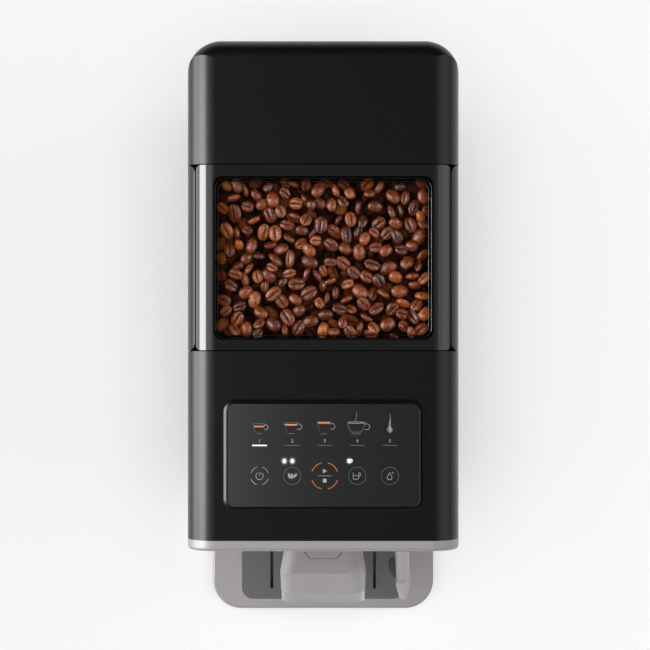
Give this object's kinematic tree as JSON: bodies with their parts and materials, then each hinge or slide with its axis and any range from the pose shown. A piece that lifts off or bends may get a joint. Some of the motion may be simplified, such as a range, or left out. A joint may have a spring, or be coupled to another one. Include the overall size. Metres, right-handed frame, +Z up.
{
  "type": "bean to cup coffee machine",
  "caption": "Slim bean to cup coffee machine with a windowed bean hopper, a touch panel, a height-adjustable spout, a swivelling steam wand and a pull-out drip tray.",
  "frame": {"origin": "on the floor under the middle of the machine's length and width", "axes": "+Z up, the front with the drip tray faces -Y, +X is the machine's right side (the service door's side)"},
  "size_m": [0.18, 0.4194, 0.3384],
  "materials": {
    "matte_black": "fine moulded texture",
    "gloss_black": "polished",
    "silver_paint": "satin silver paint",
    "chrome_trim": "mirror",
    "grate_grey": "satin dark grey",
    "clear_plastic": "clear",
    "tinted_glass": "dark tinted",
    "hopper_plastic": "smoked",
    "roasted_beans": "oily roast",
    "soft_rubber": "matt",
    "bright_steel": "turned",
    "cast_aluminium": "as cast",
    "motor_steel": "zinc plated",
    "works_plastic": "natural nylon",
    "circuit_board": "lacquered"
  },
  "bodies": {
    "machine": {"base_plate": "matte_black", "feet": "soft_rubber", "chassis_frame": "matte_black", "side_panel_left": "matte_black", "side_panel_right": "matte_black", "door_pins": "bright_steel", "back_panel": "matte_black", "fascia_frame": "silver_paint", "front_panel": "matte_black", "guide_rods": "bright_steel", "wand_socket": "matte_black", "front_cap": "matte_black", "control_bezel": "matte_black", "touch_glass": "tinted_glass", "display_board": "circuit_board", "tank_platform": "matte_black", "bean_hopper": "hopper_plastic", "coffee_beans": "roasted_beans", "grinder_housing": "works_plastic", "grinder_motor": "motor_steel", "brew_frame": "works_plastic", "brew_chamber": "works_plastic", "upper_piston": "works_plastic", "brew_motor": "motor_steel", "grounds_chute": "works_plastic", "thermoblock": "cast_aluminium", "water_pump": "motor_steel", "pump_mounts": "soft_rubber", "flow_meter": "works_plastic", "hoses": "soft_rubber", "power_board": "circuit_board", "mains_inlet": "gloss_black", "switch_frame": "gloss_black", "panel_screws": "bright_steel"},
    "service_door": {"service_door": "matte_black"},
    "spout": {"spout_housing": "silver_paint", "spout_trim": "chrome_trim", "spout_insert": "silver_paint", "spout_outlets": "works_plastic", "spout_carriage": "gloss_black"},
    "steam_wand": {"steam_wand": "silver_paint", "steam_nozzle": "silver_paint", "wand_grip": "matte_black"},
    "drip_tray": {"drip_tray": "silver_paint"},
    "drip_grate": {"drip_grate": "grate_grey"},
    "grounds_container": {"grounds_container": "matte_black", "container_front": "matte_black"},
    "water_tank": {"water_tank": "clear_plastic", "tank_valve": "soft_rubber"},
    "tank_cover": {"tank_cover": "matte_black"},
    "hopper_lid": {"lid_frame": "gloss_black", "lid_window": "clear_plastic", "lid_seal": "soft_rubber"},
    "grind_adjuster": {"adjusting_ring": "works_plastic", "upper_burr": "bright_steel"},
    "burr_drive": {"lower_burr": "bright_steel", "burr_carrier": "cast_aluminium"},
    "brew_piston": {"brew_piston": "works_plastic"},
    "drive_spindle": {"drive_spindle": "bright_steel"},
    "power_switch": {"switch_rocker": "gloss_black"}
  },
  "joints": [
    {"name": "service_door_hinge", "type": "hinge", "parent": "machine", "child": "service_door", "pos_m": [0.0877, -0.014, 0.184], "axis": [0, 0, 1], "range_deg": [0, 90]},
    {"name": "spout_height", "type": "slide", "parent": "machine", "child": "spout", "axis": [0, 0, 1], "range_m": [-0.03, 0.02]},
    {"name": "wand_swivel", "type": "hinge", "parent": "machine", "child": "steam_wand", "pos_m": [0.056, -0.131, 0.24], "axis": [0, 0, 1], "range_deg": [-15, 60]},
    {"name": "tray_slide", "type": "slide", "parent": "machine", "child": "drip_tray", "axis": [0, -1, 0], "range_m": [0, 0.2]},
    {"name": "grate_lift", "type": "slide", "parent": "drip_tray", "child": "drip_grate", "axis": [0, 0, 1], "range_m": [0, 0.04]},
    {"name": "container_lift", "type": "slide", "parent": "drip_tray", "child": "grounds_container", "axis": [0, 0, 1], "range_m": [0, 0.0035]},
    {"name": "tank_lift", "type": "slide", "parent": "machine", "child": "water_tank", "axis": [0, 0, 1], "range_m": [0, 0.25]},
    {"name": "cover_lift", "type": "slide", "parent": "water_tank", "child": "tank_cover", "axis": [0, 0, 1], "range_m": [0, 0.06]},
    {"name": "lid_lift", "type": "slide", "parent": "machine", "child": "hopper_lid", "axis": [0, 0, 1], "range_m": [0, 0.06]},
    {"name": "grind_setting", "type": "hinge", "parent": "machine", "child": "grind_adjuster", "pos_m": [0, 0.06635, 0.25], "axis": [0, 0, 1], "range_deg": [0, 60]},
    {"name": "burr_spin", "type": "hinge", "parent": "machine", "child": "burr_drive", "pos_m": [0, 0.06635, 0.22], "axis": [0, 0, 1], "continuous": true},
    {"name": "piston_stroke", "type": "slide", "parent": "machine", "child": "brew_piston", "axis": [0, 0, 1], "range_m": [0, 0.026]},
    {"name": "spindle_spin", "type": "hinge", "parent": "machine", "child": "drive_spindle", "pos_m": [0.073, -0.055, 0.17], "axis": [0, 0, 1], "range_deg": [0, 1880]},
    {"name": "switch_rock", "type": "hinge", "parent": "machine", "child": "power_switch", "pos_m": [-0.006, 0.2037, 0.032], "axis": [1, 0, 0], "range_deg": [-10, 10]}
  ],
  "couplings": [
    {"joint": "spindle_spin", "follows": "piston_stroke", "rad_per_m": 1256.6}
  ]
}
